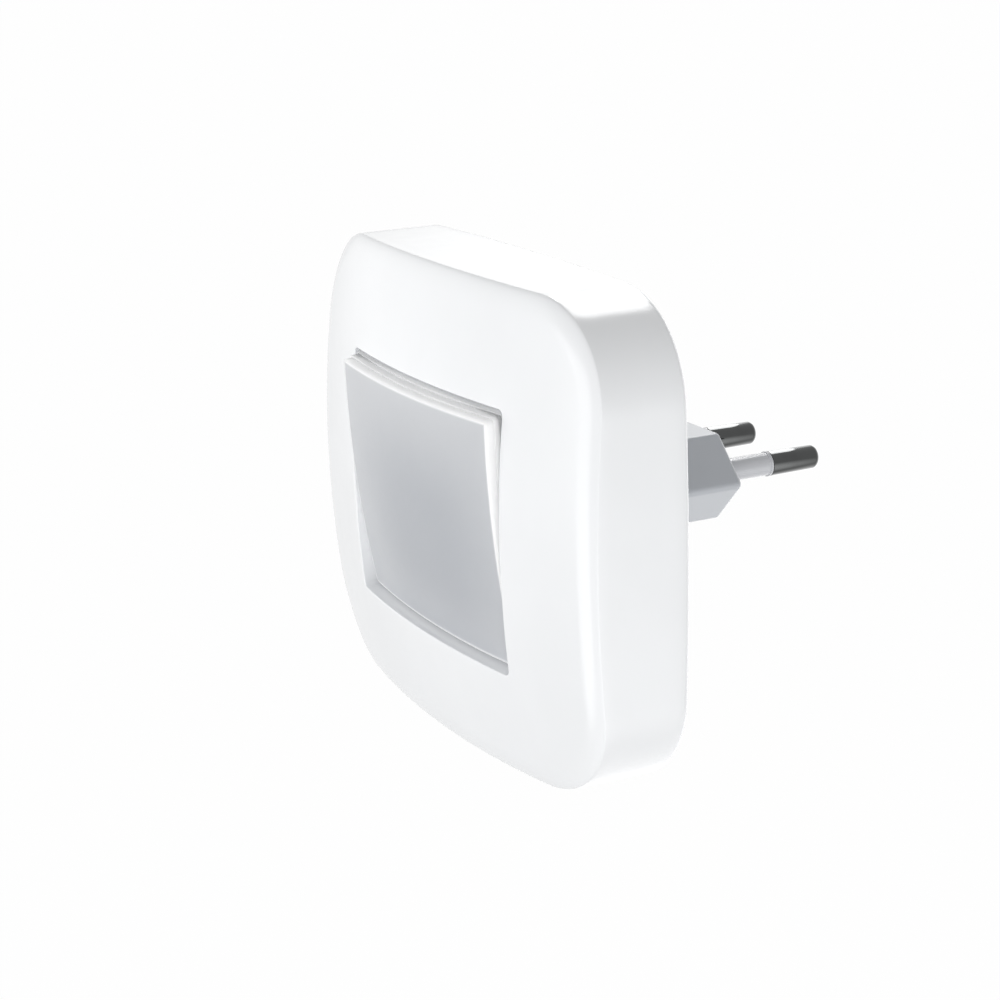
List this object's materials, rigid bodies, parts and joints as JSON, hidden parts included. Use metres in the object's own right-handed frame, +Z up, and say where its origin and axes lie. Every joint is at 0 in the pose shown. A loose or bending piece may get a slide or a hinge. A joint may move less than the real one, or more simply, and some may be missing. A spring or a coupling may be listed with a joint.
{
  "type": "plug-in night light",
  "caption": "Wall-plug LED night light: domed rounded-rectangle housing whose window is a tilting translucent rocker, on a flat two-pin plug body.",
  "frame": {"origin": "middle of the plug's engagement face, midway between the two pins", "axes": "+Z up, +Y along the pins into the socket, the front with its rocker faces -Y, +X to the right seen from the front"},
  "size_m": [0.0902, 0.0682, 0.0736],
  "materials": {
    "housing_white": "satin moulded",
    "plug_white": "satin moulded",
    "pin_metal": "nickel plated",
    "sleeve_plastic": "satin",
    "brass_strip": "plain",
    "opal_lens": "opal, satin",
    "inner_white": "matt",
    "plunger_metal": "turned",
    "spring_steel": "drawn wire",
    "switch_plastic": "matt",
    "board_laminate": "solder mask",
    "led_phosphor": "clear dome",
    "capacitor_plastic": "moulded",
    "capacitor_can": "sleeved",
    "chip_plastic": "moulded",
    "resistor_coat": "lacquered",
    "screw_steel": "zinc plated"
  },
  "bodies": {
    "housing": {"front_shell": "housing_white", "rear_cover": "housing_white", "plug_body": "plug_white", "pin_left": "pin_metal", "pin_right": "pin_metal", "pin_sleeve_left": "sleeve_plastic", "pin_sleeve_right": "sleeve_plastic", "terminal_strip_left": "brass_strip", "terminal_strip_right": "brass_strip", "switch_base": "switch_plastic", "switch_contact_strip": "brass_strip", "switch_pivot_strip": "brass_strip", "circuit_board": "board_laminate", "reflector_plate": "inner_white", "leds": "led_phosphor", "film_capacitor": "capacitor_plastic", "electrolytic_capacitor": "capacitor_can", "bridge_rectifier": "chip_plastic", "fusible_resistor": "resistor_coat", "chip_resistors": "chip_plastic", "housing_screws": "screw_steel", "board_screws": "screw_steel"},
    "rocker": {"rocker_lens": "opal_lens", "rocker_carrier": "inner_white", "plunger_spring": "spring_steel"},
    "plunger": {"plunger": "plunger_metal"},
    "blade": {"seesaw_contact": "brass_strip"}
  },
  "joints": [
    {"name": "rocker_tilt", "type": "hinge", "parent": "housing", "child": "rocker", "pos_m": [0, -0.04172, -0.0004], "axis": [1, 0, 0], "range_deg": [-13.1, 0]},
    {"name": "blade_tilt", "type": "hinge", "parent": "housing", "child": "blade", "pos_m": [0, -0.03386, -0.0004], "axis": [1, 0, 0], "range_deg": [0, 16]},
    {"name": "plunger_slide", "type": "slide", "parent": "rocker", "child": "plunger", "axis": [0, -0.9935, -0.1141], "range_m": [0, 0.0006], "stiffness_N_per_m": 200, "deforming": ["plunger_spring"]}
  ],
  "couplings": [
    {"joint": "blade_tilt", "follows": "rocker_tilt", "ratio": -1.2214}
  ]
}
